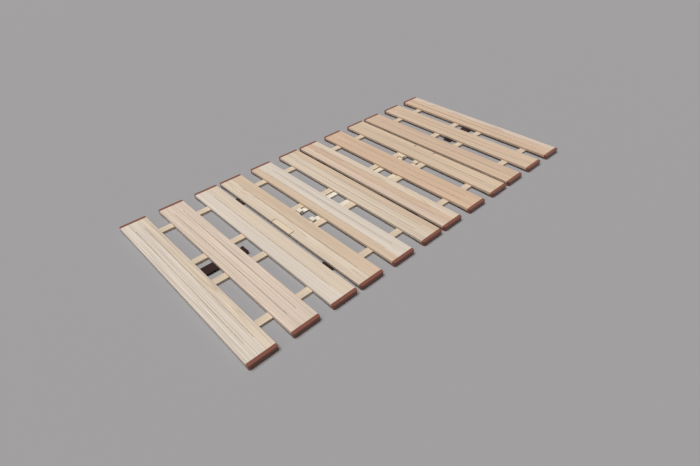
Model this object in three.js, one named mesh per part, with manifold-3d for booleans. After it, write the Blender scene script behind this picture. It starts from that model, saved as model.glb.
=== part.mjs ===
// Folding slatted bed: four panels of three slats, flat on the floor.
// Millimetres, +Z up. The origin is on the floor under the middle of the bed.
// +X runs along the bed from slat 1 to slat 12, +Y along the slats to their left ends.
import * as THREE from "three";
import { mergeVertices } from "three/addons/utils/BufferGeometryUtils.js";
import Module from "manifold-3d";

const wasm = await Module();
wasm.setup();

// Slats
const panelCount = 4;
const slatsPerPanel = 3;
const slatLength = 976;
const slatWidth = 120;
const slatThickness = 12;
const slatEdgeRadius = 2;
const slatGap = 62;

// Space between two panels, taken up by the webbing of the fold
const foldGap = 21;

// Saw kerfs in the slat tops, stopped short of the slat ends
const kerfWidth = 1.6;
const kerfDepth = 4;
const kerfEndMargin = 72;

// Rails under the slats
const railWidth = 33;
const railHeight = 11;
const railChamfer = 1.5;
const railEndInset = 6;
const outerRailInset = 122;
const middleLeftRailShift = 7.5;
const innerRailPlace = 80;

// End caps, one over each slat end, with a foot under the slat
const capOverhang = 16;
const capJointGap = 0.4;
const capFootReach = 45;
const capCornerRadius = 8;
const capTopRadius = 2;
const capBottomRadius = 3;
const capSideRadius = 2;

// Tie between the inner rails of a middle panel, at its valley fold
const tieLength = 20;
const tieHousing = 3;

// Stopper frame: a bar and two arms that lie between the inner rails
const armPlace = 46;
const armWidth = 27;
const armHeight = 8;
const pivotInset = 34;
const barDepth = 26;
const barSetback = 12;
const barOverhang = 3;
const barEdgeRadius = 2;
const barCornerRadius = 8;
const barLap = 3;
const notchSideClearance = 4;
const notchBackClearance = 0.5;
const notchCornerRadius = 10;
const catchLength = 21;
const catchStandOff = 12;
const catchDrop = 3;

// Pivot dowel of the stopper frame and its bores in the inner rails
const dowelRadius = 3;
const dowelReach = 11;
const boreClearance = 0.3;

// Webbing: two straps over each fold, one belt at each end of the bed
const foldStrapWidth = 55;
const foldStrapThickness = 1.2;
const foldStrapGrip = 45;
const foldStrapRailGap = 7;
const beltWidth = 50;
const beltThickness = 1.6;
const beltRootInset = 8;
const beltTailHeight = 6.5;
const beltTipRise = 4;
const beltTipLength = 15;
const loopTailLength = 22;
const hookTailLength = 20;
const hookTapeThickness = 1.4;
const hookTapeLength = 44;
const beltDipStartShare = 0.15;
const beltDipEndShare = 0.8;

// Cutters run this far past the surface that they open
const overrun = 5;

const arcSteps = 4;
const dowelSides = 12;
const dipSteps = 6;

const panelLength = slatsPerPanel * slatWidth + (slatsPerPanel - 1) * slatGap;
const bedLength = panelCount * panelLength + (panelCount - 1) * foldGap;
const bedHeight = railHeight + slatThickness;
const outerRailPlace = slatLength / 2 - outerRailInset;
const outerRailFace = outerRailPlace - railWidth / 2;
const foldStrapPlace = outerRailFace - foldStrapRailGap - foldStrapWidth / 2;
const barLength = 2 * armPlace + armWidth + 2 * barOverhang;
const innerRailFace = innerRailPlace - railWidth / 2;
const pivotPlace = panelLength - pivotInset;
const secondSlatEnd = 2 * slatWidth + slatGap;

const paleWood = material(0xdecbb4, 0.62);
const tanWood = material(0xd4bc9c, 0.62);
const railWood = material(0xdec8a8, 0.66);
const creamWood = material(0xece0c6, 0.6);
const brownPlastic = material(0x7a4a3c, 0.45);
const darkWebbing = material(0x3a2828, 0.9);

const bed = new THREE.Group();

for (let panel = 1; panel <= panelCount; panel++) {
  const panelGroup = new THREE.Group();
  panelGroup.position.x = panelStart(panel);
  addSlats(panelGroup, panel);
  addOuterRails(panelGroup, panel);
  if (hasStopper(panel)) addInnerFrameAndStopper(panelGroup, panel);
  else addInnerRailsAndBelt(panelGroup, panel);
  bed.add(panelGroup);
}
for (let fold = 1; fold < panelCount; fold++) addFoldStraps(fold);

function material(color, roughness) {
  return new THREE.MeshStandardMaterial({ color, roughness, metalness: 0 });
}

// The low-X edge of a panel.
function panelStart(panel) {
  return (panel - 1) * (panelLength + foldGap) - bedLength / 2;
}

// The two middle panels hold the stopper frames.
function hasStopper(panel) {
  return panel > 1 && panel < panelCount;
}

// Panels of the second half are the first half turned half round.
function isTurned(panel) {
  return panel > panelCount / 2;
}

function named(name, geometry, surface) {
  const mesh = new THREE.Mesh(geometry, surface);
  mesh.name = name;
  return mesh;
}

// A closed geometry as a solid that can be joined and cut.
function solidOf(geometry) {
  const bare = geometry.clone();
  bare.deleteAttribute("normal");
  bare.deleteAttribute("uv");
  const merged = mergeVertices(bare);
  const mesh = new wasm.Mesh({
    numProp: 3,
    vertProperties: new Float32Array(merged.attributes.position.array),
    triVerts: new Uint32Array(merged.index.array),
  });
  return new wasm.Manifold(mesh);
}

function geometryOf(solid) {
  const mesh = solid.getMesh();
  const geometry = new THREE.BufferGeometry();
  geometry.setAttribute("position", new THREE.BufferAttribute(mesh.vertProperties, 3));
  geometry.setIndex(new THREE.BufferAttribute(mesh.triVerts, 1));
  geometry.computeVertexNormals();
  return geometry;
}

// A box between two values on each axis.
function box(x0, x1, y0, y1, z0, z1) {
  const geometry = new THREE.BoxGeometry(x1 - x0, y1 - y0, z1 - z0);
  return geometry.translate((x0 + x1) / 2, (y0 + y1) / 2, (z0 + z1) / 2);
}

function extruded(shape, depth) {
  return new THREE.ExtrudeGeometry(shape, { depth, bevelEnabled: false, curveSegments: arcSteps });
}

// An X-Z outline drawn out along Y, from y0 to y1.
function alongY(shape, y0, y1) {
  return extruded(shape, y1 - y0).rotateX(Math.PI / 2).translate(0, y1, 0);
}

// A Y-Z outline drawn out along X, from x0 to x1.
function alongX(shape, x0, x1) {
  const turn = new THREE.Matrix4().makeBasis(
    new THREE.Vector3(0, 1, 0),
    new THREE.Vector3(0, 0, 1),
    new THREE.Vector3(1, 0, 0),
  );
  return extruded(shape, x1 - x0).applyMatrix4(turn).translate(x0, 0, 0);
}

// An X-Y outline that starts at X0 and is rounded at X1, drawn up along Z from 0.
function tongue(x0, x1, halfWidth, radius, height) {
  return extruded(domedOutline(-halfWidth, halfWidth, x0, x1, radius), height).rotateZ(-Math.PI / 2);
}

// An outline with two square lower corners and two rounded upper ones.
function domedOutline(x0, x1, z0, z1, radius) {
  const shape = new THREE.Shape();
  shape.moveTo(x0, z0);
  shape.lineTo(x1, z0);
  shape.absarc(x1 - radius, z1 - radius, radius, 0, Math.PI / 2);
  shape.absarc(x0 + radius, z1 - radius, radius, Math.PI / 2, Math.PI);
  shape.closePath();
  return shape;
}

// A slat lies with its middle at X 0 and its underside at Z 0.
function slatGeometry(kerfCount, isNotched) {
  const half = slatWidth / 2;
  const kerfEnd = slatLength / 2 - kerfEndMargin;
  const profile = domedOutline(-half, half, 0, slatThickness, slatEdgeRadius);
  let solid = solidOf(alongY(profile, -slatLength / 2, slatLength / 2));
  for (let kerf = 1; kerf <= kerfCount; kerf++) {
    const x = (kerf * slatWidth) / (kerfCount + 1) - half;
    const cutter = box(
      x - kerfWidth / 2,
      x + kerfWidth / 2,
      -kerfEnd,
      kerfEnd,
      slatThickness - kerfDepth,
      slatThickness + overrun,
    );
    solid = solid.subtract(solidOf(cutter));
  }
  if (isNotched) {
    const notchEnd = barLength / 2 + notchSideClearance;
    const notchBack = barDepth + notchBackClearance - half;
    const cutterHeight = slatThickness + 2 * overrun;
    const cutter = tongue(-half - overrun, notchBack, notchEnd, notchCornerRadius, cutterHeight);
    solid = solid.subtract(solidOf(cutter.translate(0, 0, -overrun)));
  }
  return geometryOf(solid);
}

// A left end cap: its foot lies under the slat and its wall over the slat's end.
function capGeometry() {
  const half = slatWidth / 2;
  const footEnd = slatLength / 2 - capFootReach;
  const wallStart = slatLength / 2 + capJointGap;
  const wallEnd = slatLength / 2 + capOverhang;
  const side = new THREE.Shape();
  side.moveTo(footEnd, 0);
  side.absarc(wallEnd - capBottomRadius, capBottomRadius, capBottomRadius, -Math.PI / 2, 0);
  side.absarc(wallEnd - capTopRadius, bedHeight - capTopRadius, capTopRadius, 0, Math.PI / 2);
  side.lineTo(wallStart, bedHeight);
  side.lineTo(wallStart, railHeight);
  side.lineTo(footEnd, railHeight);
  side.closePath();
  const plan = domedOutline(-half, half, footEnd - overrun, wallEnd, capCornerRadius);
  const face = domedOutline(-half, half, -overrun, bedHeight, capSideRadius);
  const planSolid = solidOf(extruded(plan, bedHeight + overrun));
  const faceSolid = solidOf(alongY(face, footEnd - overrun, wallEnd + overrun));
  return geometryOf(
    solidOf(alongX(side, -half - overrun, half + overrun)).intersect(planSolid).intersect(faceSolid),
  );
}

function addSlats(panelGroup, panel) {
  for (let place = 1; place <= slatsPerPanel; place++) {
    const number = (panel - 1) * slatsPerPanel + place;
    const x = (place - 1) * (slatWidth + slatGap) + slatWidth / 2;
    const peakPlace = panel % 2 === 1 ? slatsPerPanel : 1;
    const kerfCount = place === peakPlace ? 1 : 2;
    const isNotched = hasStopper(panel) && place === peakPlace;
    const surface = isTurned(panel) ? tanWood : paleWood;
    const slat = named("slat_" + number, slatGeometry(kerfCount, isNotched), surface);
    slat.position.set(x, 0, railHeight);
    slat.rotation.z = isTurned(panel) ? Math.PI : 0;
    const leftCap = named("end_cap_" + number + "_left", capGeometry(), brownPlastic);
    leftCap.position.x = x;
    const rightCap = named("end_cap_" + number + "_right", capGeometry(), brownPlastic);
    rightCap.position.x = x;
    rightCap.rotation.z = Math.PI;
    panelGroup.add(slat, leftCap, rightCap);
  }
}

// A rail from end to end of a panel, centred on Y 0, with chamfered lower edges.
function railGeometry() {
  const half = railWidth / 2;
  const shape = new THREE.Shape();
  shape.moveTo(-half, railChamfer);
  shape.lineTo(-half + railChamfer, 0);
  shape.lineTo(half - railChamfer, 0);
  shape.lineTo(half, railChamfer);
  shape.lineTo(half, railHeight);
  shape.lineTo(-half, railHeight);
  shape.closePath();
  return alongX(shape, railEndInset, panelLength - railEndInset);
}

function addRail(panelGroup, name, y) {
  const rail = named(name, railGeometry(), railWood);
  rail.position.y = y;
  panelGroup.add(rail);
}

// The left outer rails of the two middle panels lie a little nearer the slat ends.
function addOuterRails(panelGroup, panel) {
  const leftPlace = hasStopper(panel) ? outerRailPlace + middleLeftRailShift : outerRailPlace;
  addRail(panelGroup, "rail_" + panel + "_left_outer", leftPlace);
  addRail(panelGroup, "rail_" + panel + "_right_outer", -outerRailPlace);
}

// A panel's own fittings are drawn from its outer edge inwards, and turned for the second half.
function fittingsGroup(panelGroup, panel) {
  const group = new THREE.Group();
  if (isTurned(panel)) {
    group.rotation.z = Math.PI;
    group.position.x = panelLength;
  }
  panelGroup.add(group);
  return group;
}

function addInnerRailsAndBelt(panelGroup, panel) {
  addRail(panelGroup, "rail_" + panel + "_left_inner", innerRailPlace);
  addRail(panelGroup, "rail_" + panel + "_right_inner", -innerRailPlace);
  const belt = named("storage_belt_" + panel, beltGeometry(isTurned(panel)), darkWebbing);
  fittingsGroup(panelGroup, panel).add(belt);
}

// A belt is stapled under the outermost slat, and its tail passes loosely under the second.
function beltGeometry(hasHookTape) {
  const tail = hasHookTape ? hookTailLength : loopTailLength;
  const high = railHeight - beltThickness;
  const dipStart = slatWidth + slatGap + slatWidth * beltDipStartShare;
  const dipEnd = slatWidth + slatGap + slatWidth * beltDipEndShare;
  const end = secondSlatEnd + tail;
  const underside = [new THREE.Vector2(beltRootInset, high)];
  for (let step = 0; step <= dipSteps; step++) {
    const share = step / dipSteps;
    const fall = (1 - Math.cos(Math.PI * share)) / 2;
    const x = dipStart + (dipEnd - dipStart) * share;
    underside.push(new THREE.Vector2(x, high + (beltTailHeight - high) * fall));
  }
  underside.push(new THREE.Vector2(end - beltTipLength, beltTailHeight));
  underside.push(new THREE.Vector2(end, beltTailHeight + beltTipRise));
  const upperside = underside.map((p) => new THREE.Vector2(p.x, p.y + beltThickness)).reverse();
  const outline = new THREE.Shape([...underside, ...upperside]);
  const strip = solidOf(alongY(outline, -beltWidth / 2, beltWidth / 2));
  if (!hasHookTape) return geometryOf(strip);
  const tape = box(
    end - hookTapeLength,
    end - beltTipLength,
    -beltWidth / 2,
    beltWidth / 2,
    beltTailHeight + beltThickness / 2,
    beltTailHeight + beltThickness + hookTapeThickness,
  );
  return geometryOf(strip.add(solidOf(tape)));
}

// The two inner rails of a middle panel, tied at the valley fold and bored for the dowel.
function innerFrameGeometry() {
  const rail = railGeometry();
  const left = solidOf(rail.clone().translate(0, innerRailPlace, 0));
  const right = solidOf(rail.clone().translate(0, -innerRailPlace, 0));
  const tieEnd = innerRailFace + tieHousing;
  const railEnd = panelLength - railEndInset;
  const tie = box(railEnd - tieLength, railEnd, -tieEnd, tieEnd, 0, railHeight);
  const boreEnd = innerRailFace + dowelReach + boreClearance;
  const bore = dowelGeometry(dowelRadius + boreClearance, boreEnd);
  return geometryOf(left.add(right).add(solidOf(tie)).subtract(solidOf(bore)));
}

// A round pin along Y on the pivot axis of the stopper frame.
function dowelGeometry(radius, reach) {
  const pin = new THREE.CylinderGeometry(radius, radius, 2 * reach, dowelSides);
  return pin.translate(pivotPlace, 0, armHeight / 2);
}

// The X-Z outline of the bar: its lip is as thick as a slat, its heel reaches down onto the arms.
function barOutline() {
  const top = bedHeight - barEdgeRadius;
  const shape = new THREE.Shape();
  shape.moveTo(barSetback, armHeight - barLap);
  shape.lineTo(barDepth, armHeight - barLap);
  shape.absarc(barDepth - barEdgeRadius, top, barEdgeRadius, 0, Math.PI / 2);
  shape.absarc(barEdgeRadius, top, barEdgeRadius, Math.PI / 2, Math.PI);
  shape.lineTo(0, railHeight);
  shape.lineTo(barSetback, railHeight);
  shape.closePath();
  return shape;
}

// The stopper frame: bar in the slat's notch, arms under the slats, catches behind the slat.
function stopperGeometry() {
  const armEndRadius = armHeight / 2;
  const armOutline = new THREE.Shape();
  armOutline.moveTo(barSetback, 0);
  armOutline.absarc(pivotPlace, armEndRadius, armEndRadius, -Math.PI / 2, Math.PI / 2);
  armOutline.lineTo(barSetback, armHeight);
  armOutline.closePath();
  const barPlan = tongue(-overrun, barDepth, barLength / 2, barCornerRadius, bedHeight + overrun);
  const bar = alongY(barOutline(), -barLength / 2, barLength / 2);
  let solid = solidOf(bar).intersect(solidOf(barPlan));
  for (const side of [-1, 1]) {
    const y0 = side * armPlace - armWidth / 2;
    const y1 = side * armPlace + armWidth / 2;
    const catchStart = slatWidth + catchStandOff;
    const catchBlock = box(
      catchStart,
      catchStart + catchLength,
      y0,
      y1,
      armHeight - barLap,
      bedHeight - catchDrop,
    );
    solid = solid.add(solidOf(alongY(armOutline, y0, y1))).add(solidOf(catchBlock));
  }
  const dowel = dowelGeometry(dowelRadius, innerRailFace + dowelReach);
  return geometryOf(solid.add(solidOf(dowel)));
}

function addInnerFrameAndStopper(panelGroup, panel) {
  const frame = named("inner_frame_" + panel, innerFrameGeometry(), railWood);
  const stopper = named("stopper_frame_" + panel, stopperGeometry(), creamWood);
  fittingsGroup(panelGroup, panel).add(frame, stopper);
}

// Straps lie flat under the slats on both sides of a fold.
function addFoldStraps(fold) {
  const middle = panelStart(fold) + panelLength + foldGap / 2;
  const reach = foldGap / 2 + foldStrapGrip;
  const strap = box(
    -reach,
    reach,
    -foldStrapWidth / 2,
    foldStrapWidth / 2,
    railHeight - foldStrapThickness,
    railHeight,
  );
  for (const [side, y] of [["left", foldStrapPlace], ["right", -foldStrapPlace]]) {
    const mesh = named("fold_strap_" + fold + "_" + side, strap.clone(), darkWebbing);
    mesh.position.set(middle, y, 0);
    bed.add(mesh);
  }
}

export default bed;
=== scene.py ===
"""Finishes, webbing and fastenings for a folding slatted bed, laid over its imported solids."""

import math

import bmesh
import bpy
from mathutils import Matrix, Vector


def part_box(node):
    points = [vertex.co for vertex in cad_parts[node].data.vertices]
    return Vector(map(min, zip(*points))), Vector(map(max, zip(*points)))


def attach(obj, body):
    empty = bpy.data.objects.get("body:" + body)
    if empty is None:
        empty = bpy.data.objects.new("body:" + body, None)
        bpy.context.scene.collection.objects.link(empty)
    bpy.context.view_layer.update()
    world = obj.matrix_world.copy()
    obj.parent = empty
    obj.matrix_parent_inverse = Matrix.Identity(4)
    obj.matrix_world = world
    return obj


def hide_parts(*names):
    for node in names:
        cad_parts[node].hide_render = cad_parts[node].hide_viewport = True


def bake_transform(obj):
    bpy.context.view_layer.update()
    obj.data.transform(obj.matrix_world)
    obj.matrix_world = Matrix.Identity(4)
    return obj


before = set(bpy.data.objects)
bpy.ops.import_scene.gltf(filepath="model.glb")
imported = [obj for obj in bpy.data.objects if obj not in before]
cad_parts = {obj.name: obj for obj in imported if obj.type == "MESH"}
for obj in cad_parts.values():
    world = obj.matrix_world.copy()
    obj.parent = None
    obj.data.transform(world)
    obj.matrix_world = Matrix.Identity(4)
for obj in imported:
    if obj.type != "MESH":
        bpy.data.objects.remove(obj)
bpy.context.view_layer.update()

bl_info = {
    "name": "Folding Slatted Bed",
    "version": (1, 0, 0),
    "blender": (4, 5, 0),
    "location": "View3D > Sidebar > Slatted Bed",
    "description": "Wood, plastic and webbing finishes for a folding slatted bed",
    "category": "Add Mesh",
}

PANELS = (1, 2, 3, 4)
STOPPER_PANELS = (2, 3)
FOLDS = (1, 2, 3)
SLATS_PER_PANEL = 3
SIDES = ("left", "right")

# The belts: which way each one runs along X from its root, and how far its tip is from there.
BELT_WAYS = {1: 1, 4: -1}
BELT_REACH = {1: 0.324, 4: 0.322}
BELT_ROOT = 0.008  # from the slat's outer edge to where a belt starts
BELT_THICKNESS = 0.0016
BELT_TOP, BELT_UNDERSIDE = 0.0080, 0.0066  # levels of a belt's faces under the second slat

# The tapes: where they start and end, from a belt's tip, how far they stand out from the belt
# and are pressed into it, how wide their softened edge is, and how far in their stitches run.
TAPE_FROM_TIP = (0.044, 0.0155)
HOOK_TAPE_BODY, LOOP_TAPE_BODY = 0.0006, 0.0010
TAPE_SUNK = 0.0003
TAPE_SOFT_EDGE = 0.0012
TAPE_SEAM = 0.0017

TIE_HALF_WIDTH = 0.0635  # the ties of the inner frames lie this near to the bed's middle line
BAR_WIDTH, BAR_UNDERSIDE = 0.0262, 0.0081  # the bar of a stopper frame, as its solid has it
SEAM_BLUR = 0.006  # share of a slat's width in which one strip's tone passes into the next
PLAIN_STREAKS = (1.0, 1.0)

# Each slat is edge-glued from strips, listed from the low-X edge by their tones in BedColours.
SLAT_STRIPS = {
    1: ("white_wood", "white_wood", "beige_wood"),
    2: ("buff_wood", "buff_wood", "buff_wood"),
    3: ("white_wood", "beige_wood"),
    4: ("beige_wood", "pale_tan_wood"),
    5: ("pale_tan_wood", "white_wood", "white_wood"),
    6: ("beige_wood", "beige_wood", "pale_tan_wood"),
    7: ("pink_wood", "rose_tan_wood", "beige_wood"),
    8: ("deep_tan_wood", "deep_tan_wood", "deep_tan_wood"),
    9: ("pale_tan_wood", "pale_tan_wood"),
    10: ("rose_tan_wood", "rose_tan_wood"),
    11: ("pale_tan_wood", "rose_tan_wood", "pale_tan_wood"),
    12: ("rose_tan_wood", "rose_tan_wood", "buff_wood"),
}

# Slats whose pale and dark streaks differ from the plain ones: how strong and how fine.
STREAKS = {
    1: (2.5, 1.9),
    2: (2.1, 1.6),
    6: (1.7, 1.3),
    9: (1.5, 1.0),
    10: (1.7, 1.0),
    12: (1.9, 1.0),
}

# Where the heart of the tree lay from each slat's middle, in metres: sideways and below.
SLAT_HEARTS = {
    1: (0.055, 0.05),
    2: (-0.11, 0.08),
    3: (0.13, 0.06),
    4: (-0.02, 0.07),
    5: (0.16, 0.05),
    6: (-0.14, 0.09),
    7: (0.03, 0.06),
    8: (-0.17, 0.05),
    9: (0.12, 0.10),
    10: (-0.09, 0.06),
    11: (0.15, 0.08),
    12: (0.02, 0.08),
}


def rgb(red, green, blue):
    """A colour as the shaders take it, from its usual 0 to 255 numbers."""
    shares = (red / 255, green / 255, blue / 255)
    return tuple(s / 12.92 if s <= 0.04045 else ((s + 0.055) / 1.055) ** 2.4 for s in shares)


def rgba(colour):
    return (*colour, 1.0)


def darker(colour, share):
    return tuple(share * c for c in colour)


def colour_prop(name, description, default):
    return bpy.props.FloatVectorProperty(
        name=name, description=description, default=default, subtype="COLOR", size=3, min=0, max=1
    )


def length_prop(name, description, default):
    return bpy.props.FloatProperty(
        name=name, description=description, default=default, min=0, unit="LENGTH", precision=5
    )


class BedColours(bpy.types.PropertyGroup):
    """Colours of the bed's finishes."""

    white_wood: colour_prop("White wood", "Palest slat strips", rgb(225, 213, 199))
    buff_wood: colour_prop("Buff wood", "Light slat strips, a little greyer", rgb(223, 204, 187))
    beige_wood: colour_prop("Beige wood", "Light slat strips", rgb(223, 206, 185))
    pink_wood: colour_prop("Pink wood", "Light slat strips with a rosy cast", rgb(222, 199, 179))
    pale_tan_wood: colour_prop("Pale tan wood", "Slat strips a shade darker", rgb(219, 195, 170))
    rose_tan_wood: colour_prop("Rose tan wood", "Tan slat strips, rosy", rgb(216, 188, 163))
    deep_tan_wood: colour_prop("Deep tan wood", "Darkest slat strips", rgb(218, 188, 160))
    ring: colour_prop("Growth rings", "Late wood of the slats", rgb(190, 158, 126))
    rail: colour_prop("Rails", "Wood of the rails", rgb(221, 202, 178))
    rail_ring: colour_prop("Rail rings", "Late wood of the rails", rgb(200, 171, 138))
    pale_bar: colour_prop("Pale bar", "Wood of the bar and catches of panel 2", rgb(231, 213, 187))
    tan_bar: colour_prop("Tan bar", "Wood of the bar and catches of panel 3", rgb(218, 194, 168))
    pale_arm: colour_prop("Pale arms", "Wood of the arms of panel 2", rgb(240, 230, 211))
    tan_arm: colour_prop("Tan arms", "Wood of the arms of panel 3", rgb(233, 218, 193))
    cap: colour_prop("End caps", "Moulded plastic", rgb(132, 79, 63))
    # Lighter colour for the caps' edges: partly rubbed plastic, partly a painted highlight along
    # the edges.
    cap_rubbed_and_highlit: colour_prop("Worn, highlit cap edges", "Plastic rubbed along its edges, with a painted highlight", rgb(166, 108, 90))
    webbing: colour_prop("Webbing", "Raised yarns of straps and belts", rgb(74, 53, 51))
    webbing_shade: colour_prop("Webbing shade", "Between the yarns", rgb(32, 21, 20))
    thread: colour_prop("Sewing thread", "Stitches in the belts", rgb(62, 44, 42))
    hook_tape: colour_prop("Hook tape", "Tape at the end of the last belt", rgb(15, 14, 15))
    loop_tape: colour_prop("Loop tape", "Pile tape at the end of the first belt", rgb(52, 38, 38))
    staple: colour_prop("Staples", "Zinc-coated wire", rgb(176, 174, 170))
    floor: colour_prop("Floor", "Studio floor", rgb(162, 160, 161))


class BedSizes(bpy.types.PropertyGroup):
    """Sizes of the webbing and the fastenings."""

    ring_pitch: length_prop("Ring pitch", "Width of a growth ring", 0.0044)
    edge_radius: length_prop("Worn edge", "Radius that handling gave the wood's edges", 0.0008)
    cap_edge_radius: length_prop("Cap edge", "Softness of the caps' moulded edges", 0.0012)
    pick_pitch: length_prop("Pick pitch", "From rib to rib of the webbing", 0.0024)
    cord_pitch: length_prop("Cord pitch", "Width of one warp yarn of the webbing", 0.0016)
    rib_height: length_prop("Rib height", "How far a webbing rib stands up", 0.00012)
    selvedge: length_prop("Selvedge", "Width of the webbing's rounded edge", 0.0009)
    stitch_pitch: length_prop("Stitch pitch", "From stitch to stitch", 0.0034)
    stitch_length: length_prop("Stitch length", "Visible thread of one stitch", 0.0026)
    thread_radius: length_prop("Thread radius", "Half the thread's thickness", 0.00028)
    staple_width: length_prop("Staple width", "Crown of a staple", 0.0105)
    staple_wire: length_prop("Staple wire", "Thickness of a staple's crown", 0.0007)
    tape_margin: length_prop("Tape margin", "From the belt's edge to the tape on it", 0.0015)


def put(tree, kind, values=None, **settings):
    """A new node, with its settings, and its sockets set or linked."""
    node = tree.nodes.new(kind)
    for key, value in settings.items():
        setattr(node, key, value)
    for key, value in (values or {}).items():
        if isinstance(value, bpy.types.NodeSocket):
            tree.links.new(value, node.inputs[key])
        else:
            node.inputs[key].default_value = value
    return node


def calc(tree, operation, first, second=None, third=None, clamp=False):
    """The output of a Math node."""
    given = {i: v for i, v in enumerate((first, second, third)) if v is not None}
    return put(tree, "ShaderNodeMath", given, operation=operation, use_clamp=clamp).outputs[0]


def stretched(tree, vector, factors):
    """The vector times a factor on each axis."""
    node = put(tree, "ShaderNodeVectorMath", {0: vector, 1: factors}, operation="MULTIPLY")
    return node.outputs[0]


def mixed(tree, share, first, second, blend="MIX"):
    """The output of a colour Mix node."""
    given = {0: share, 6: first, 7: second}
    node = put(tree, "ShaderNodeMix", given, data_type="RGBA", blend_type=blend)
    return node.outputs[2]


def remapped(tree, value, low, high, to_low, to_high):
    given = {"Value": value, "From Min": low, "From Max": high, "To Min": to_low, "To Max": to_high}
    return put(tree, "ShaderNodeMapRange", given).outputs[0]


def noise(tree, vector, seed, detail=2.0, scale=1.0):
    """A noise value that differs from board to board by its seed."""
    given = {"Vector": vector, "W": seed, "Scale": scale, "Detail": detail}
    return put(tree, "ShaderNodeTexNoise", given, noise_dimensions="4D").outputs[0]


def new_group(name, inputs, outputs):
    """An empty shader node group. Returns its tree, its input node and its output node."""
    tree = bpy.data.node_groups.new(name, "ShaderNodeTree")
    for direction, sockets in (("INPUT", inputs), ("OUTPUT", outputs)):
        for socket_name, kind, default in sockets:
            socket = tree.interface.new_socket(
                name=socket_name, in_out=direction, socket_type="NodeSocket" + kind
            )
            if default is not None:
                socket.default_value = default
    return tree, tree.nodes.new("NodeGroupInput"), tree.nodes.new("NodeGroupOutput")


def grain_group():
    """Straight-grained wood whose fibres run along the vector's Y axis."""
    tree, given, result = new_group(
        "Straight Grain",
        [
            ("Vector", "Vector", None),
            ("Board", "Float", 0.0),
            ("Wood", "Color", (0.7, 0.6, 0.45, 1)),
            ("Ring", "Color", (0.5, 0.35, 0.2, 1)),
            ("Ring Pitch", "Float", 0.0065),
            ("Ring Strength", "Float", 0.5),
            ("Heart Side", "Float", 0.1),
            ("Heart Depth", "Float", 0.06),
            ("Figure", "Float", 0.02),
            ("Streaks", "Float", 1.0),
            ("Fineness", "Float", 1.0),
        ],
        [("Color", "Color", None), ("Roughness", "Float", None), ("Height", "Float", None)],
    )
    place = given.outputs["Vector"]
    seed = given.outputs["Board"]
    slow = noise(tree, stretched(tree, place, (5, 1.1, 5)), seed)
    uneven = noise(tree, stretched(tree, place, (45, 0.7, 45)), seed, 1.0)
    tone = noise(tree, stretched(tree, place, (22, 1.6, 22)), seed, 3.0)
    broad = noise(tree, stretched(tree, place, (60, 0.9, 60)), seed, 1.0)
    fine = given.outputs["Fineness"]
    streak = noise(tree, stretched(tree, place, (290, 1.8, 290)), seed, 3.0, fine)
    fibre = noise(tree, stretched(tree, place, (1500, 26, 1500)), seed, 2.0)
    wander = calc(tree, "MULTIPLY", calc(tree, "SUBTRACT", slow, 0.5), given.outputs["Figure"])
    split = put(tree, "ShaderNodeSeparateXYZ", {0: place})
    sideways = calc(tree, "SUBTRACT", split.outputs[0], given.outputs["Heart Side"])
    upward = calc(tree, "ADD", split.outputs[2], given.outputs["Heart Depth"])
    from_heart = put(
        tree,
        "ShaderNodeCombineXYZ",
        {0: calc(tree, "ADD", sideways, wander), 2: calc(tree, "ADD", upward, wander)},
    ).outputs[0]
    reach = put(tree, "ShaderNodeVectorMath", {0: from_heart}, operation="LENGTH").outputs[1]
    rings = calc(tree, "DIVIDE", reach, given.outputs["Ring Pitch"])
    turn = calc(tree, "FRACT", calc(tree, "MULTIPLY_ADD", uneven, 2.2, rings))
    late = calc(tree, "POWER", turn, 4.0)
    patchy = remapped(tree, tone, 0.3, 0.7, 0.5, 1.3)
    strength = calc(tree, "MULTIPLY", given.outputs["Ring Strength"], patchy)
    shown = calc(tree, "MULTIPLY", late, strength, clamp=True)
    ringed = mixed(tree, shown, given.outputs["Wood"], given.outputs["Ring"])
    light_streak = calc(tree, "MULTIPLY_ADD", given.outputs["Streaks"], 0.13, 1.0)
    dark_streak = calc(tree, "MULTIPLY_ADD", given.outputs["Streaks"], -0.17, 1.0)
    level = remapped(tree, streak, 0.25, 0.75, dark_streak, light_streak)
    level = calc(tree, "MULTIPLY", level, remapped(tree, broad, 0.25, 0.75, 0.96, 1.04))
    level = calc(tree, "MULTIPLY", level, remapped(tree, fibre, 0.2, 0.8, 0.93, 1.05))
    level = calc(tree, "MULTIPLY", level, remapped(tree, tone, 0.2, 0.8, 0.93, 1.05))
    scaled = put(tree, "ShaderNodeVectorMath", {0: ringed, "Scale": level}, operation="SCALE")
    height = calc(
        tree, "SUBTRACT", calc(tree, "MULTIPLY", fibre, 0.8), calc(tree, "MULTIPLY", late, 0.5)
    )
    tree.links.new(scaled.outputs[0], result.inputs["Color"])
    tree.links.new(remapped(tree, fibre, 0.25, 0.75, 0.52, 0.68), result.inputs["Roughness"])
    tree.links.new(height, result.inputs["Height"])
    return tree


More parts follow.
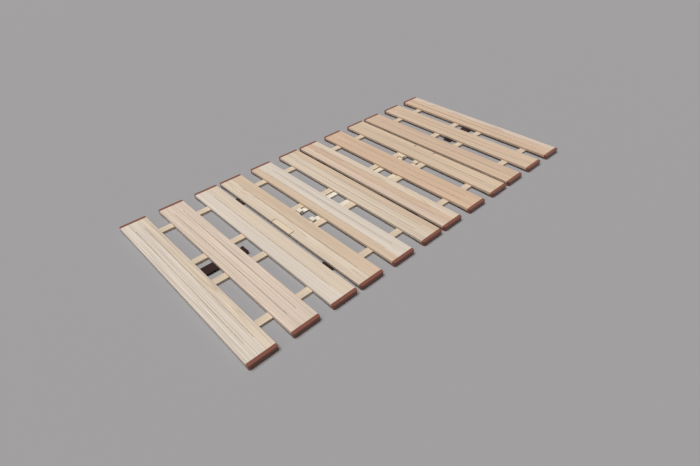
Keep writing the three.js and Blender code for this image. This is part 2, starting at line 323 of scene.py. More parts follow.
def edge_group():
    """Softened edges: a normal that rounds them and a mask of where they are rubbed, which on the
    caps also carries a painted highlight.
    """
    tree, given, result = new_group(
        "Worn Edges",
        [("Radius", "Float", 0.001), ("Breakup", "Float", 0.5)],
        [("Normal", "Vector", None), ("Wear", "Float", None)],
    )
    bevel = put(tree, "ShaderNodeBevel", {"Radius": given.outputs["Radius"]}, samples=4)
    geometry = tree.nodes.new("ShaderNodeNewGeometry")
    facing = put(
        tree,
        "ShaderNodeVectorMath",
        {0: bevel.outputs[0], 1: geometry.outputs["Normal"]},
        operation="DOT_PRODUCT",
    )
    turned = calc(tree, "SUBTRACT", 1.0, facing.outputs["Value"])
    place = tree.nodes.new("ShaderNodeTexCoord").outputs["Object"]
    patchy = noise(tree, stretched(tree, place, (60, 60, 60)), 3.0, 3.0)
    patches = remapped(tree, patchy, 0.35, 0.65, 0.0, 1.0)
    share = calc(tree, "MULTIPLY", patches, given.outputs["Breakup"])
    kept = calc(tree, "SUBTRACT", 1.0, share)
    wear = calc(tree, "MULTIPLY", remapped(tree, turned, 0.01, 0.2, 0.0, 1.0), kept, clamp=True)
    tree.links.new(bevel.outputs[0], result.inputs["Normal"])
    tree.links.new(wear, result.inputs["Wear"])
    return tree


def weave_group():
    """Flat webbing. The vector's X is across the band and its Y along it, in metres."""
    tree, given, result = new_group(
        "Webbing Weave",
        [
            ("Vector", "Vector", None),
            ("Cord Pitch", "Float", 0.0016),
            ("Pick Pitch", "Float", 0.0024),
        ],
        [("Height", "Float", None), ("Yarn", "Float", None)],
    )
    split = put(tree, "ShaderNodeSeparateXYZ", {0: given.outputs["Vector"]})
    cord = calc(tree, "DIVIDE", split.outputs[0], given.outputs["Cord Pitch"])
    pick = calc(tree, "DIVIDE", split.outputs[1], given.outputs["Pick Pitch"])
    number = calc(tree, "FLOOR", cord)
    offset = calc(tree, "MULTIPLY", calc(tree, "MODULO", number, 2.0), 0.5)
    across = calc(tree, "PINGPONG", cord, 0.5)
    wave = calc(tree, "PINGPONG", calc(tree, "ADD", pick, offset), 0.5)
    height = calc(
        tree,
        "MULTIPLY",
        calc(tree, "POWER", calc(tree, "MULTIPLY", across, 2.0), 0.6),
        calc(tree, "MULTIPLY_ADD", wave, 1.1, 0.45),
    )
    cell = put(
        tree,
        "ShaderNodeCombineXYZ",
        {0: number, 1: calc(tree, "FLOOR", calc(tree, "ADD", pick, offset))},
    ).outputs[0]
    jitter = put(tree, "ShaderNodeTexWhiteNoise", {"Vector": cell}, noise_dimensions="3D")
    fuzz = noise(tree, stretched(tree, given.outputs["Vector"], (2600, 900, 1)), 1.0, 2.0)
    yarn = calc(tree, "MULTIPLY", height, remapped(tree, jitter.outputs[0], 0, 1, 0.75, 1.15))
    yarn = calc(tree, "MULTIPLY", yarn, remapped(tree, fuzz, 0.3, 0.7, 0.8, 1.1), clamp=True)
    tree.links.new(height, result.inputs["Height"])
    tree.links.new(yarn, result.inputs["Yarn"])
    return tree


def shared_group(name):
    makers = {"Straight Grain": grain_group, "Worn Edges": edge_group, "Webbing Weave": weave_group}
    return bpy.data.node_groups.get(name) or makers[name]()


def placed_group(tree, name, values):
    return put(tree, "ShaderNodeGroup", values, node_tree=shared_group(name))


def new_material(name):
    """A material with a bare Principled shader. Returns the material, its tree and the shader."""
    material = bpy.data.materials.new(name)
    material.use_nodes = True
    tree = material.node_tree
    tree.nodes.clear()
    shader = tree.nodes.new("ShaderNodeBsdfPrincipled")
    output = tree.nodes.new("ShaderNodeOutputMaterial")
    tree.links.new(shader.outputs[0], output.inputs["Surface"])
    return material, tree, shader


def dress(node, material):
    """Gives a solid of the frame its finish."""
    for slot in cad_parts[node].material_slots:
        slot.material = material


def bumped(tree, height, distance, normal=None):
    given = {"Height": height, "Distance": distance}
    if normal is not None:
        given["Normal"] = normal
    return put(tree, "ShaderNodeBump", given).outputs[0]


def wood(
    tree, shader, sizes, vector, wood_colour, ring_colour,
    board, heart, strength, figure, streaks=PLAIN_STREAKS,
):
    """Fills a wood material: grain, rings, rubbed edges and the fibres' relief."""
    grain = placed_group(
        tree,
        "Straight Grain",
        {
            "Vector": vector,
            "Board": board,
            "Wood": wood_colour,
            "Ring": ring_colour,
            "Ring Pitch": sizes.ring_pitch,
            "Ring Strength": strength,
            "Heart Side": heart[0],
            "Heart Depth": heart[1],
            "Figure": figure,
            "Streaks": streaks[0],
            "Fineness": streaks[1],
        },
    )
    edges = placed_group(tree, "Worn Edges", {"Radius": sizes.edge_radius, "Breakup": 0.7})
    wear = calc(tree, "MULTIPLY", edges.outputs["Wear"], 0.1)
    rubbed = mixed(tree, wear, grain.outputs["Color"], ring_colour)
    tree.links.new(rubbed, shader.inputs["Base Color"])
    tree.links.new(grain.outputs["Roughness"], shader.inputs["Roughness"])
    relief = bumped(tree, grain.outputs["Height"], 0.00012, edges.outputs["Normal"])
    tree.links.new(relief, shader.inputs["Normal"])
    shader.inputs["Specular IOR Level"].default_value = 0.3


def slat_material(number, colours, sizes):
    """Wood of one slat, with the tones of its strips side by side."""
    low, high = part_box(f"slat_{number}")
    material, tree, shader = new_material(f"slat_{number}_wood")
    place = tree.nodes.new("ShaderNodeTexCoord").outputs["Object"]
    middle = ((low.x + high.x) / 2, 0.0, low.z)
    centred = put(
        tree, "ShaderNodeVectorMath", {0: place, 1: middle}, operation="SUBTRACT"
    ).outputs[0]
    split = put(tree, "ShaderNodeSeparateXYZ", {0: centred})
    half = (high.x - low.x) / 2
    across = remapped(tree, split.outputs[0], -half, half, 0.0, 1.0)
    tones = [rgba(getattr(colours, tone)) for tone in SLAT_STRIPS[number]]
    ramp = put(tree, "ShaderNodeValToRGB", {0: across})
    stops = ramp.color_ramp.elements
    stops[0].color = tones[0]
    stops[1].color = tones[-1]
    stops[1].position = (len(tones) - 1) / len(tones) + SEAM_BLUR
    for i in range(1, len(tones)):
        seam = i / len(tones)
        stops.new(seam - SEAM_BLUR).color = tones[i - 1]
        if i < len(tones) - 1:
            stops.new(seam + SEAM_BLUR).color = tones[i]
    wood(
        tree, shader, sizes, centred, ramp.outputs[0], rgba(colours.ring),
        board=7.3 * number, heart=SLAT_HEARTS[number], strength=0.5, figure=0.05,
        streaks=STREAKS.get(number, PLAIN_STREAKS),
    )
    return material


def lengthwise(tree, place):
    """The place with X and Y changed over, for wood whose grain runs along X, and its parts."""
    split = put(tree, "ShaderNodeSeparateXYZ", {0: place})
    turned = put(
        tree, "ShaderNodeCombineXYZ",
        {0: split.outputs[1], 1: split.outputs[0], 2: split.outputs[2]},
    ).outputs[0]
    return turned, split


def either(tree, where, there, elsewhere):
    """One vector where the mask is 1, another elsewhere."""
    given = {0: where, 4: elsewhere, 5: there}
    return put(tree, "ShaderNodeMix", given, data_type="VECTOR").outputs[1]


def rail_material(name, colours, sizes, board, tie_half_width=0.0):
    """Rail wood, its grain along X. In a tie between the inner rails the grain runs along Y."""
    material, tree, shader = new_material(f"{name}_wood")
    place = tree.nodes.new("ShaderNodeTexCoord").outputs["Object"]
    vector, split = lengthwise(tree, place)
    if tie_half_width:
        inside = calc(tree, "LESS_THAN", calc(tree, "ABSOLUTE", split.outputs[1]), tie_half_width)
        vector = either(tree, inside, place, vector)
    wood(
        tree, shader, sizes, vector, rgba(colours.rail), rgba(colours.rail_ring),
        board=board, heart=(0.05 + 0.02 * math.sin(board), 0.09), strength=0.5, figure=0.03,
    )
    return material


class BED_OT_slats(bpy.types.Operator):
    """Gives the twelve slats their wood"""

    bl_idname = "bed.slats"
    bl_label = "Slats"

    def execute(self, context):
        colours, sizes = context.scene.bed_colours, context.scene.bed_sizes
        for number in SLAT_STRIPS:
            dress(f"slat_{number}", slat_material(number, colours, sizes))
        return {"FINISHED"}


class BED_OT_rails(bpy.types.Operator):
    """Gives the rails and the inner frames their wood"""

    bl_idname = "bed.rails"
    bl_label = "Rails"

    def execute(self, context):
        colours, sizes = context.scene.bed_colours, context.scene.bed_sizes
        rails = sorted(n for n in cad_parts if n.startswith("rail_"))
        for place, name in enumerate(rails):
            dress(name, rail_material(name, colours, sizes, 3.7 * place + 1))
        for panel in STOPPER_PANELS:
            name = f"inner_frame_{panel}"
            dress(name, rail_material(name, colours, sizes, 11.9 * panel, TIE_HALF_WIDTH))
        return {"FINISHED"}


class BED_OT_stoppers(bpy.types.Operator):
    """Gives the stopper frames their wood"""

    bl_idname = "bed.stoppers"
    bl_label = "Stopper Frames"

    def execute(self, context):
        colours, sizes = context.scene.bed_colours, context.scene.bed_sizes
        for panel in STOPPER_PANELS:
            name = f"stopper_frame_{panel}"
            low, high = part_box(name)
            if panel == 2:
                outer_end, bar, arm = low.x, colours.pale_bar, colours.pale_arm
            else:
                outer_end, bar, arm = high.x, colours.tan_bar, colours.tan_arm
            material, tree, shader = new_material(f"{name}_wood")
            place = tree.nodes.new("ShaderNodeTexCoord").outputs["Object"]
            along_x, split = lengthwise(tree, place)
            inward = calc(tree, "ABSOLUTE", calc(tree, "SUBTRACT", split.outputs[0], outer_end))
            in_bar = calc(
                tree, "MULTIPLY",
                calc(tree, "LESS_THAN", inward, BAR_WIDTH),
                calc(tree, "GREATER_THAN", split.outputs[2], BAR_UNDERSIDE),
            )
            wood(
                tree, shader, sizes, either(tree, in_bar, place, along_x),
                mixed(tree, in_bar, rgba(arm), rgba(bar)), rgba(colours.rail_ring),
                board=5.1 * panel, heart=(0.06, 0.08), strength=0.3, figure=0.02,
            )
            dress(name, material)
        return {"FINISHED"}


class BED_OT_caps(bpy.types.Operator):
    """Gives the end caps their moulded plastic"""

    bl_idname = "bed.caps"
    bl_label = "End Caps"

    def execute(self, context):
        colours, sizes = context.scene.bed_colours, context.scene.bed_sizes
        material, tree, shader = new_material("cap_plastic")
        place = tree.nodes.new("ShaderNodeTexCoord").outputs["Object"]
        cloud = noise(tree, stretched(tree, place, (30, 30, 30)), 2.0, 3.0)
        spark = noise(tree, stretched(tree, place, (2200, 2200, 2200)), 4.0, 1.0)
        edges = placed_group(tree, "Worn Edges", {"Radius": sizes.cap_edge_radius, "Breakup": 0.6})
        deep = darker(colours.cap, 0.9)
        base = mixed(tree, remapped(tree, cloud, 0.3, 0.7, 0.0, 1.0), rgba(deep), rgba(colours.cap))
        # The caps' edges are lightened along the edge mask: part rubbed plastic, part painted
        # highlight.
        wear = calc(tree, "MULTIPLY", edges.outputs["Wear"], 0.5)
        worn_and_highlit = mixed(tree, wear, base, rgba(colours.cap_rubbed_and_highlit))
        tree.links.new(worn_and_highlit, shader.inputs["Base Color"])
        rough = calc(
            tree, "ADD",
            remapped(tree, cloud, 0.3, 0.7, 0.2, 0.3),
            remapped(tree, spark, 0.3, 0.7, -0.03, 0.03),
        )
        tree.links.new(rough, shader.inputs["Roughness"])
        tree.links.new(
            bumped(tree, spark, 0.00006, edges.outputs["Normal"]), shader.inputs["Normal"]
        )
        shader.inputs["Specular IOR Level"].default_value = 0.5
        for number in SLAT_STRIPS:
            for side in SIDES:
                dress(f"end_cap_{number}_{side}", material)
        return {"FINISHED"}


def webbing_material(colours, sizes):
    """The dark weave that all straps and belts share."""
    found = bpy.data.materials.get("webbing_weave")
    if found:
        return found
    material, tree, shader = new_material("webbing_weave")
    vector = tree.nodes.new("ShaderNodeTexCoord").outputs["UV"]
    weave = placed_group(
        tree, "Webbing Weave",
        {"Vector": vector, "Cord Pitch": sizes.cord_pitch, "Pick Pitch": sizes.pick_pitch},
    )
    yarn = weave.outputs["Yarn"]
    base = mixed(tree, yarn, rgba(colours.webbing_shade), rgba(colours.webbing))
    tree.links.new(base, shader.inputs["Base Color"])
    tree.links.new(remapped(tree, yarn, 0, 1, 0.95, 0.75), shader.inputs["Roughness"])
    tree.links.new(bumped(tree, weave.outputs["Height"], 0.0003), shader.inputs["Normal"])
    shader.inputs["Sheen Weight"].default_value = 0.06
    shader.inputs["Sheen Roughness"].default_value = 0.5
    shader.inputs["Specular IOR Level"].default_value = 0.1
    return material


def finished(bm, name, material):
    """Puts what was made in bmesh in the scene, as a smooth-shaded piece."""
    bmesh.ops.recalc_face_normals(bm, faces=bm.faces)
    mesh = bpy.data.meshes.new(name)
    bm.to_mesh(mesh)
    bm.free()
    piece = bpy.data.objects.new(name, mesh)
    bpy.context.scene.collection.objects.link(piece)
    mesh.materials.append(material)
    for face in mesh.polygons:
        face.use_smooth = True
    return piece


def resampled(line, step):
    """Points along a broken line of (x, z) at an even step, its ends kept."""
    lengths = [0.0]
    for a, b in zip(line[:-1], line[1:]):
        lengths.append(lengths[-1] + math.dist(a, b))
    count = max(2, round(lengths[-1] / step))
    points, leg = [], 0
    for i in range(count + 1):
        at = lengths[-1] * i / count
        while leg < len(line) - 2 and at > lengths[leg + 1]:
            leg += 1
        share = (at - lengths[leg]) / (lengths[leg + 1] - lengths[leg])
        (x0, z0), (x1, z1) = line[leg], line[leg + 1]
        points.append((x0 + (x1 - x0) * share, z0 + (z1 - z0) * share, at))
    return points


def band(name, line, middle_y, width, thickness, sizes, material):
    """A woven band: its middle line in X and Z, with ribs across it and rounded selvedges."""
    points = resampled(line, sizes.pick_pitch / 4)
    half, edge = width / 2, sizes.selvedge
    rim = [-half, -half + edge * 0.15, -half + edge * 0.5, -half + edge]
    inner = 10
    columns = rim + [(-half + edge) + (width - 2 * edge) * i / inner for i in range(1, inner)]
    columns += [-c for c in reversed(rim)]
    bm = bmesh.new()
    uv = bm.loops.layers.uv.new("UVMap")
    rings = []
    for i, (x, z, at) in enumerate(points):
        x0, z0, _ = points[max(0, i - 1)]
        x1, z1, _ = points[min(len(points) - 1, i + 1)]
        along = Vector((x1 - x0, 0, z1 - z0)).normalized()
        up = along.cross(Vector((0, 1, 0)))
        if up.z < 0:
            up.negate()
        rib = sizes.rib_height * math.cos(2 * math.pi * at / sizes.pick_pitch)
        ring = []
        for face in (1, -1):
            for c in columns if face == 1 else reversed(columns):
                inset = max(0.0, (abs(c) - (half - edge)) / edge)
                round_off = max(0.2, math.sqrt(max(0.0, 1 - inset * inset)))
                lift = face * (thickness / 2 - sizes.rib_height + rib) * round_off
                vert = bm.verts.new(Vector((x, middle_y + c, z)) + up * lift)
                ring.append((vert, c + half, at))
        rings.append(ring)

    def quad(corners):
        made = bm.faces.new([v for v, _, _ in corners])
        for loop, (_, u, v) in zip(made.loops, corners):
            loop[uv].uv = (u, v)

    count = len(rings[0])
    for a, b in zip(rings[:-1], rings[1:]):
        for j in range(count):
            k = (j + 1) % count
            quad((a[j], a[k], b[k], b[j]))
    for ring in (rings[0], rings[-1]):
        for j in range(count // 2 - 1):
            quad((ring[j], ring[j + 1], ring[count - 2 - j], ring[count - 1 - j]))
    return finished(bm, name, material)


def sweep(bm, path, across, radius_across, radius_up, sides=6):
    """A closed wire along a path, with round or flat section."""
    rings = []
    for i, point in enumerate(path):
        along = (path[min(len(path) - 1, i + 1)] - path[max(0, i - 1)]).normalized()
        side = across.normalized()
        up = along.cross(side).normalized()
        ring = []
        for s in range(sides):
            turn = 2 * math.pi * (s + 0.5) / sides
            offset = side * (radius_across * math.cos(turn)) + up * (radius_up * math.sin(turn))
            ring.append(bm.verts.new(point + offset))
        rings.append(ring)
    for a, b in zip(rings[:-1], rings[1:]):
        for s in range(sides):
            t = (s + 1) % sides
            bm.faces.new((a[s], a[t], b[t], b[s]))
    bm.faces.new(list(reversed(rings[0])))
    bm.faces.new(rings[-1])


def staple(bm, place, turn, into, sizes):
    """A staple whose crown lies at place; its legs go in the direction of into (1 up, -1 down)."""
    half, leg, bend = sizes.staple_width / 2, 0.003, 0.0006
    flat = [
        (-half, leg), (-half, bend), (-half + bend, 0),
        (half - bend, 0), (half, bend), (half, leg),
    ]
    direction = Vector((math.cos(turn), math.sin(turn), 0))
    path = [Vector(place) + direction * x + Vector((0, 0, into * z)) for x, z in flat]
    across = Vector((-math.sin(turn), math.cos(turn), 0))
    sweep(bm, path, across, sizes.staple_wire * 0.85, sizes.staple_wire / 2)


def drawn_in(area, inset):
    """The corners of a rectangle, given as (low X, low Y, high X, high Y), less an inset."""
    near, low, far, high = area
    near, low, far, high = near + inset, low + inset, far - inset, high - inset
    return [(near, low), (far, low), (far, high), (near, high)]


def stitch_round(bm, corners, z, up, sizes):
    """Stitches round a rectangle at height z, standing proud upwards (up 1) or down (up -1)."""
    radius = sizes.thread_radius
    for start, end in zip(corners, corners[1:] + corners[:1]):
        start, end = Vector((*start, z)), Vector((*end, z))
        run = end - start
        way = run.normalized()
        count = max(1, round(run.length / sizes.stitch_pitch))
        for i in range(count):
            middle = start + run * ((i + 0.5) / count)
            half = way * (sizes.stitch_length / 2)
            sunk, proud = Vector((0, 0, -up * radius)), Vector((0, 0, up * radius * 0.5))
            path = [
                middle - half + sunk, middle - half * 0.7 + proud,
                middle + half * 0.7 + proud, middle + half + sunk,
            ]
            sweep(bm, path, way.cross(Vector((0, 0, 1))), radius, radius, sides=5)


def slab(bm, low, high, soft, lift):
    """A tape's body: a flat closed sheet with softened edges, its faces raised by lift(x, y)."""
    columns = 28
    rows = max(8, round(columns * (high.y - low.y) / (high.x - low.x)))
    faces = []
    for top in (1, -1):
        level = high.z if top == 1 else low.z
        grid = []
        for i in range(columns + 1):
            x = low.x + (high.x - low.x) * i / columns
            line = []
            for j in range(rows + 1):
                y = low.y + (high.y - low.y) * j / rows
                inside = min(x - low.x, high.x - x, y - low.y, high.y - y)
                sink = soft * max(0.0, 1 - inside / soft) ** 2 * 0.5
                rise = lift(x, y) * (inside > soft) - sink
                line.append(bm.verts.new((x, y, level + top * rise)))
            grid.append(line)
        faces.append(grid)
    for grid in faces:
        for i in range(columns):
            for j in range(rows):
                bm.faces.new((grid[i][j], grid[i + 1][j], grid[i + 1][j + 1], grid[i][j + 1]))
    upper, lower = faces

    def rim(grid):
        return (
            [grid[i][0] for i in range(columns)]
            + [grid[columns][j] for j in range(rows)]
            + [grid[i][rows] for i in range(columns, 0, -1)]
            + [grid[0][j] for j in range(rows, 0, -1)]
        )

    above, below = rim(upper), rim(lower)
    for i in range(len(above)):
        j = (i + 1) % len(above)
        bm.faces.new((above[i], above[j], below[j], below[i]))


def mottled_material(name, light, dark, scale, rough, relief):
    """A finish of two shades, with fine uneven relief. Returns the material and its shader."""
    material, tree, shader = new_material(name)
    place = tree.nodes.new("ShaderNodeTexCoord").outputs["Object"]
    cloud = noise(tree, stretched(tree, place, (scale, scale, scale)), 1.0, 3.0)
    base = mixed(tree, remapped(tree, cloud, 0.3, 0.7, 0.0, 1.0), rgba(dark), rgba(light))
    tree.links.new(base, shader.inputs["Base Color"])
    shine = remapped(tree, cloud, 0.3, 0.7, rough + 0.08, rough - 0.08)
    tree.links.new(shine, shader.inputs["Roughness"])
    tree.links.new(bumped(tree, cloud, relief), shader.inputs["Normal"])
    return material, shader


def thread_material(colours):
    found = bpy.data.materials.get("sewing_thread")
    return found or mottled_material(
        "sewing_thread", colours.thread, darker(colours.thread, 0.6), 3000, 0.6, 0.00008
    )[0]


class BED_OT_fold_straps(bpy.types.Operator):
    """Weaves the straps that join the panels"""

    bl_idname = "bed.fold_straps"
    bl_label = "Fold Straps"

    def execute(self, context):
        colours, sizes = context.scene.bed_colours, context.scene.bed_sizes
        material = webbing_material(colours, sizes)
        for fold in FOLDS:
            for side in SIDES:
                node = f"fold_strap_{fold}_{side}"
                low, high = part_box(node)
                z = (low.z + high.z) / 2
                middle = (low.y + high.y) / 2
                piece = band(
                    f"fold_webbing_{fold}_{side}", [(low.x, z), (high.x, z)],
                    middle, high.y - low.y, high.z - low.z, sizes, material,
                )
                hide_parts(node)
                if fold == 2:
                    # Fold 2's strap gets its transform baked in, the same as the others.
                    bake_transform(piece)
                else:
                    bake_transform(piece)
        return {"FINISHED"}


def belt_line(start, way, end):
    """The middle line of a belt, from its root inwards: level, a little lower, and its tip up."""
    high, low, rise = 0.0102, 0.0073, 0.004
    dip_start, dip_end, tip = 0.200, 0.278, 0.015
    steps = 12
    line = [(BELT_ROOT, high), (dip_start, high)]
    for step in range(1, steps + 1):
        share = step / steps
        fall = (1 - math.cos(math.pi * share)) / 2
        line.append((dip_start + (dip_end - dip_start) * share, high + (low - high) * fall))
    line += [(end - tip, low), (end, low + rise)]
    return [(start + way * s, z) for s, z in line]


class BED_OT_belts(bpy.types.Operator):
    """Weaves the two storage belts"""

    bl_idname = "bed.belts"
    bl_label = "Storage Belts"

    def execute(self, context):
        colours, sizes = context.scene.bed_colours, context.scene.bed_sizes
        material = webbing_material(colours, sizes)
        for panel, way in BELT_WAYS.items():
            node = f"storage_belt_{panel}"
            low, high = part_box(node)
            start = low.x - BELT_ROOT if way > 0 else high.x + BELT_ROOT
            piece = band(
                f"belt_webbing_{panel}", belt_line(start, way, BELT_REACH[panel]),
                0.0, high.y - low.y, BELT_THICKNESS, sizes, material,
            )
            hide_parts(node)
            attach(piece, f"panel_{panel}")
        return {"FINISHED"}


class BED_OT_tapes(bpy.types.Operator):
    """Sews the hook tape on the last belt and the loop tape on the first"""

    bl_idname = "bed.tapes"
    bl_label = "Belt Tapes"

    def execute(self, context):
        colours, sizes = context.scene.bed_colours, context.scene.bed_sizes
        for panel, way in BELT_WAYS.items():
            low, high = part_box(f"storage_belt_{panel}")
            tip = high.x if way > 0 else low.x
            near, far = sorted(tip - way * reach for reach in TAPE_FROM_TIP)
            area = (near, low.y + sizes.tape_margin, far, high.y - sizes.tape_margin)
            tape = (self.hook_tape if panel == 4 else self.loop_tape)(area, colours)
            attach(tape, f"panel_{panel}")

            if panel == 4:
                over, under = BELT_TOP + HOOK_TAPE_BODY, BELT_UNDERSIDE
            else:
                over, under = BELT_TOP, BELT_UNDERSIDE - LOOP_TAPE_BODY
            corners = drawn_in(area, TAPE_SEAM)
            bm = bmesh.new()
            stitch_round(bm, corners, over, 1, sizes)
            stitch_round(bm, corners, under, -1, sizes)
            stitches = finished(bm, f"belt_stitching_{panel}", thread_material(colours))
            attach(stitches, f"panel_{panel}")
        return {"FINISHED"}

    def hook_tape(self, area, colours):
        """The tape on top of the last belt, with its hooks."""
        near, low_y, far, high_y = area
        top = BELT_TOP + HOOK_TAPE_BODY
        bm = bmesh.new()
        slab(
            bm, Vector((near, low_y, BELT_TOP - TAPE_SUNK)), Vector((far, high_y, top)),
            TAPE_SOFT_EDGE, lambda x, y: 0.0,
        )
        self.hooks(bm, near, far, low_y, high_y, top)
        material, shader = mottled_material(
            "hook_tape_4", colours.hook_tape, darker(colours.hook_tape, 0.6), 1500, 0.5, 0.00005
        )
        shader.inputs["Specular IOR Level"].default_value = 0.15
        return finished(bm, "hook_tape_4", material)

    def loop_tape(self, area, colours):
        """The tape under the first belt, with its uneven pile."""
        near, low_y, far, high_y = area

        def pile(x, y):
            return 0.00016 * math.sin(2600 * x + 3 * math.sin(1900 * y)) * math.cos(2300 * y)

        bm = bmesh.new()
        slab(
            bm, Vector((near, low_y, BELT_UNDERSIDE - LOOP_TAPE_BODY)),
            Vector((far, high_y, BELT_UNDERSIDE + TAPE_SUNK)), TAPE_SOFT_EDGE, pile,
        )
        material, shader = mottled_material(
            "loop_tape_1", colours.loop_tape, darker(colours.loop_tape, 0.5), 2400, 0.85, 0.0003
        )
        shader.inputs["Sheen Weight"].default_value = 0.3
        return finished(bm, "loop_tape_1", material)

    def hooks(self, bm, near, far, low_y, high_y, z):
        """Rows of small bent hooks on the tape's face, every other row turned about."""
        border, pitch, height, radius, curl = 0.0032, 0.0016, 0.0008, 0.00013, 0.0005
        columns = int((far - near - 2 * border) / pitch)
        rows = int((high_y - low_y - 2 * border) / pitch)
        for i in range(columns + 1):
            for j in range(rows + 1):
                foot = Vector((near + border + i * pitch, low_y + border + j * pitch, z - 0.0001))
                bend = (1 if i % 2 else -1) * curl
                path = [
                    foot, foot + Vector((0, 0, height * 0.75)),
                    foot + Vector((0, bend * 0.5, height)), foot + Vector((0, bend, height * 0.7)),
                ]
                sweep(bm, path, Vector((1, 0, 0)), radius, radius, sides=4)


class BED_OT_staples(bpy.types.Operator):
    """Drives the staples that hold straps, belts and rails under the slats"""

    bl_idname = "bed.staples"
    bl_label = "Staples"

    def execute(self, context):
        colours, sizes = context.scene.bed_colours, context.scene.bed_sizes
        material, shader = mottled_material(
            "zinc_wire", colours.staple, darker(colours.staple, 0.8), 1200, 0.38, 0.00002
        )
        shader.inputs["Metallic"].default_value = 0.9
        across = math.pi / 2
        for panel in PANELS:
            bm = bmesh.new()
            for fold in (panel - 1, panel):
                if fold in FOLDS:
                    for side in SIDES:
                        low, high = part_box(f"fold_strap_{fold}_{side}")
                        self.rows(bm, low, high, 1 if fold < panel else -1, across, sizes)
            if panel in BELT_WAYS:
                low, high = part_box(f"storage_belt_{panel}")
                root = Vector((low.x, low.y, 0.0094))
                self.rows(bm, root, high, -BELT_WAYS[panel], across, sizes)
            self.under_rails(bm, panel, sizes)
            piece = finished(bm, f"staples_panel_{panel}", material)
            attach(piece, f"panel_{panel}")
        return {"FINISHED"}

    def rows(self, bm, low, high, end, across, sizes):
        """Two rows of three at one end of a band: 1 is its high-X end, -1 its low-X end."""
        tip = high.x if end > 0 else low.x
        for inset, spread in ((0.010, 0.36), (0.031, 0.30)):
            for share in (-spread, 0.0, spread):
                y = (low.y + high.y) / 2 + share * (high.y - low.y)
                turn = across + 0.12 * math.sin(97 * tip + 61 * y + 400 * inset)
                staple(bm, (tip - end * inset, y, low.z - 0.0002), turn, 1, sizes)

    def under_rails(self, bm, panel, sizes):
        """Two staples where each rail crosses a slat, flush in the rail's underside."""
        rails = []
        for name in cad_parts:
            if name.startswith(f"rail_{panel}_"):
                low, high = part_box(name)
                rails.append((low.y + high.y) / 2)
                width = high.y - low.y
        if panel in STOPPER_PANELS:
            low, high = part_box(f"inner_frame_{panel}")
            rails += [low.y + width / 2, high.y - width / 2]
        for slat in range(SLATS_PER_PANEL * (panel - 1) + 1, SLATS_PER_PANEL * panel + 1):
            low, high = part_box(f"slat_{slat}")
            for y in rails:
                for share, aside in ((0.28, -0.005), (0.72, 0.005)):
                    x = low.x + share * (high.x - low.x)
                    turn = 0.6 + 0.2 * math.sin(31 * x + 17 * y)
                    staple(bm, (x, y + aside, 0.0003), turn, 1, sizes)


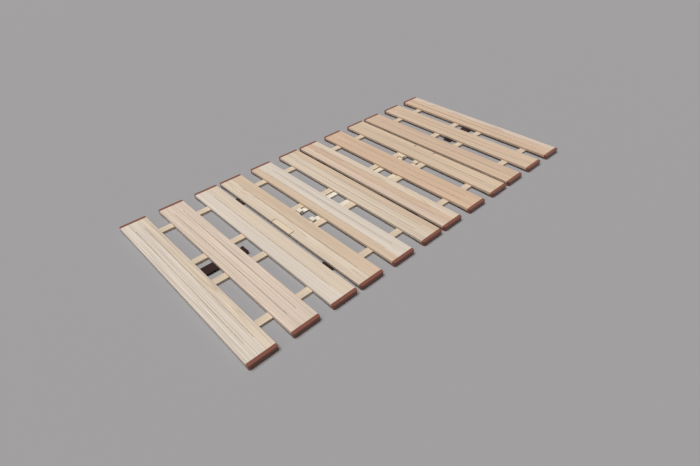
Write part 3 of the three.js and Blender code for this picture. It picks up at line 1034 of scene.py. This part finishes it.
class BED_OT_stage(bpy.types.Operator):
    """Sets the camera, the floor and the lamps"""

    bl_idname = "bed.stage"
    bl_label = "Studio"

    def execute(self, context):
        scene = context.scene
        colours = scene.bed_colours
        lens = bpy.data.cameras.new("bed_camera")
        lens.sensor_width = 36.0
        lens.lens = 23.974
        lens.clip_end = 100.0
        camera = bpy.data.objects.new("bed_camera", lens)
        camera.location = (-1.35873, -1.37757, 1.26719)
        camera.rotation_euler = [math.radians(a) for a in (51.213, 0.96, -43.553)]
        scene.collection.objects.link(camera)
        scene.camera = camera

        material, tree, shader = new_material("studio_floor")
        shader.inputs["Base Color"].default_value = rgba(colours.floor)
        shader.inputs["Roughness"].default_value = 0.9
        shader.inputs["Specular IOR Level"].default_value = 0.15
        clear = tree.nodes.new("ShaderNodeBsdfTransparent")
        below = tree.nodes.new("ShaderNodeNewGeometry").outputs["Backfacing"]
        both = put(
            tree, "ShaderNodeMixShader", {0: below, 1: shader.outputs[0], 2: clear.outputs[0]}
        )
        output = next(n for n in tree.nodes if n.type == "OUTPUT_MATERIAL")
        tree.links.new(both.outputs[0], output.inputs["Surface"])
        bm = bmesh.new()
        bmesh.ops.create_circle(bm, cap_ends=True, segments=96, radius=14.0)
        mesh = bpy.data.meshes.new("studio_floor")
        bm.to_mesh(mesh)
        bm.free()
        mesh.materials.append(material)
        floor = bpy.data.objects.new("studio_floor", mesh)
        floor.visible_shadow = False
        scene.collection.objects.link(floor)

        self.lamp(scene, "overhead_lamp", 40, 2.9, (0.22, -0.16, -1.0))
        self.lamp(scene, "left_lamp", 20, 0.36, (1.0, 0.1, -0.4))
        # The floor lets this weak lamp through, for views of the underside.
        self.lamp(scene, "under_lamp", 60, 0.35, (0.3, 0.2, 1.0))

        world = bpy.data.worlds.new("studio_light")
        world.use_nodes = True
        tree = world.node_tree
        tree.nodes.clear()
        light = put(tree, "ShaderNodeBackground", {"Color": (1, 1, 1, 1), "Strength": 0.05})
        seen = put(tree, "ShaderNodeBackground", {"Color": rgba(colours.floor), "Strength": 1.0})
        rays = tree.nodes.new("ShaderNodeLightPath")
        shown = calc(tree, "MAXIMUM", rays.outputs["Is Camera Ray"], rays.outputs["Is Glossy Ray"])
        both = put(
            tree, "ShaderNodeMixShader", {0: shown, 1: light.outputs[0], 2: seen.outputs[0]}
        )
        output = tree.nodes.new("ShaderNodeOutputWorld")
        tree.links.new(both.outputs[0], output.inputs["Surface"])
        scene.world = world
        scene.view_settings.view_transform = "Standard"
        return {"FINISHED"}

    def lamp(self, scene, name, spread, strength, aim):
        """A broad far lamp that shines the way it is aimed; its spread is in degrees."""
        light = bpy.data.lights.new(name, "SUN")
        light.angle = math.radians(spread)
        light.energy = strength
        holder = bpy.data.objects.new(name, light)
        holder.rotation_euler = Vector(aim).to_track_quat("-Z", "Y").to_euler()
        scene.collection.objects.link(holder)


class BED_PT_panel(bpy.types.Panel):
    """Lists the pieces of the bed"""

    bl_label = "Slatted Bed"
    bl_idname = "BED_PT_panel"
    bl_space_type = "VIEW_3D"
    bl_region_type = "UI"
    bl_category = "Slatted Bed"

    def draw(self, context):
        for operator in OPERATORS:
            self.layout.operator(operator.bl_idname)
        for group in (context.scene.bed_sizes, context.scene.bed_colours):
            box = self.layout.box()
            for name in group.bl_rna.properties.keys():
                if name not in {"rna_type", "name"}:
                    box.prop(group, name)


OPERATORS = (
    BED_OT_stage,
    BED_OT_slats,
    BED_OT_rails,
    BED_OT_stoppers,
    BED_OT_caps,
    BED_OT_fold_straps,
    BED_OT_belts,
    BED_OT_tapes,
    BED_OT_staples,
)
CLASSES = (BedColours, BedSizes, *OPERATORS, BED_PT_panel)


def register():
    for cls in CLASSES:
        bpy.utils.register_class(cls)
    bpy.types.Scene.bed_colours = bpy.props.PointerProperty(type=BedColours)
    bpy.types.Scene.bed_sizes = bpy.props.PointerProperty(type=BedSizes)


def unregister():
    del bpy.types.Scene.bed_sizes
    del bpy.types.Scene.bed_colours
    for cls in reversed(CLASSES):
        bpy.utils.unregister_class(cls)


def main():
    register()
    bpy.ops.bed.stage()
    bpy.ops.bed.slats()
    bpy.ops.bed.rails()
    bpy.ops.bed.stoppers()
    bpy.ops.bed.caps()
    bpy.ops.bed.fold_straps()
    bpy.ops.bed.belts()
    bpy.ops.bed.tapes()
    bpy.ops.bed.staples()


if __name__ == "__main__":
    main()
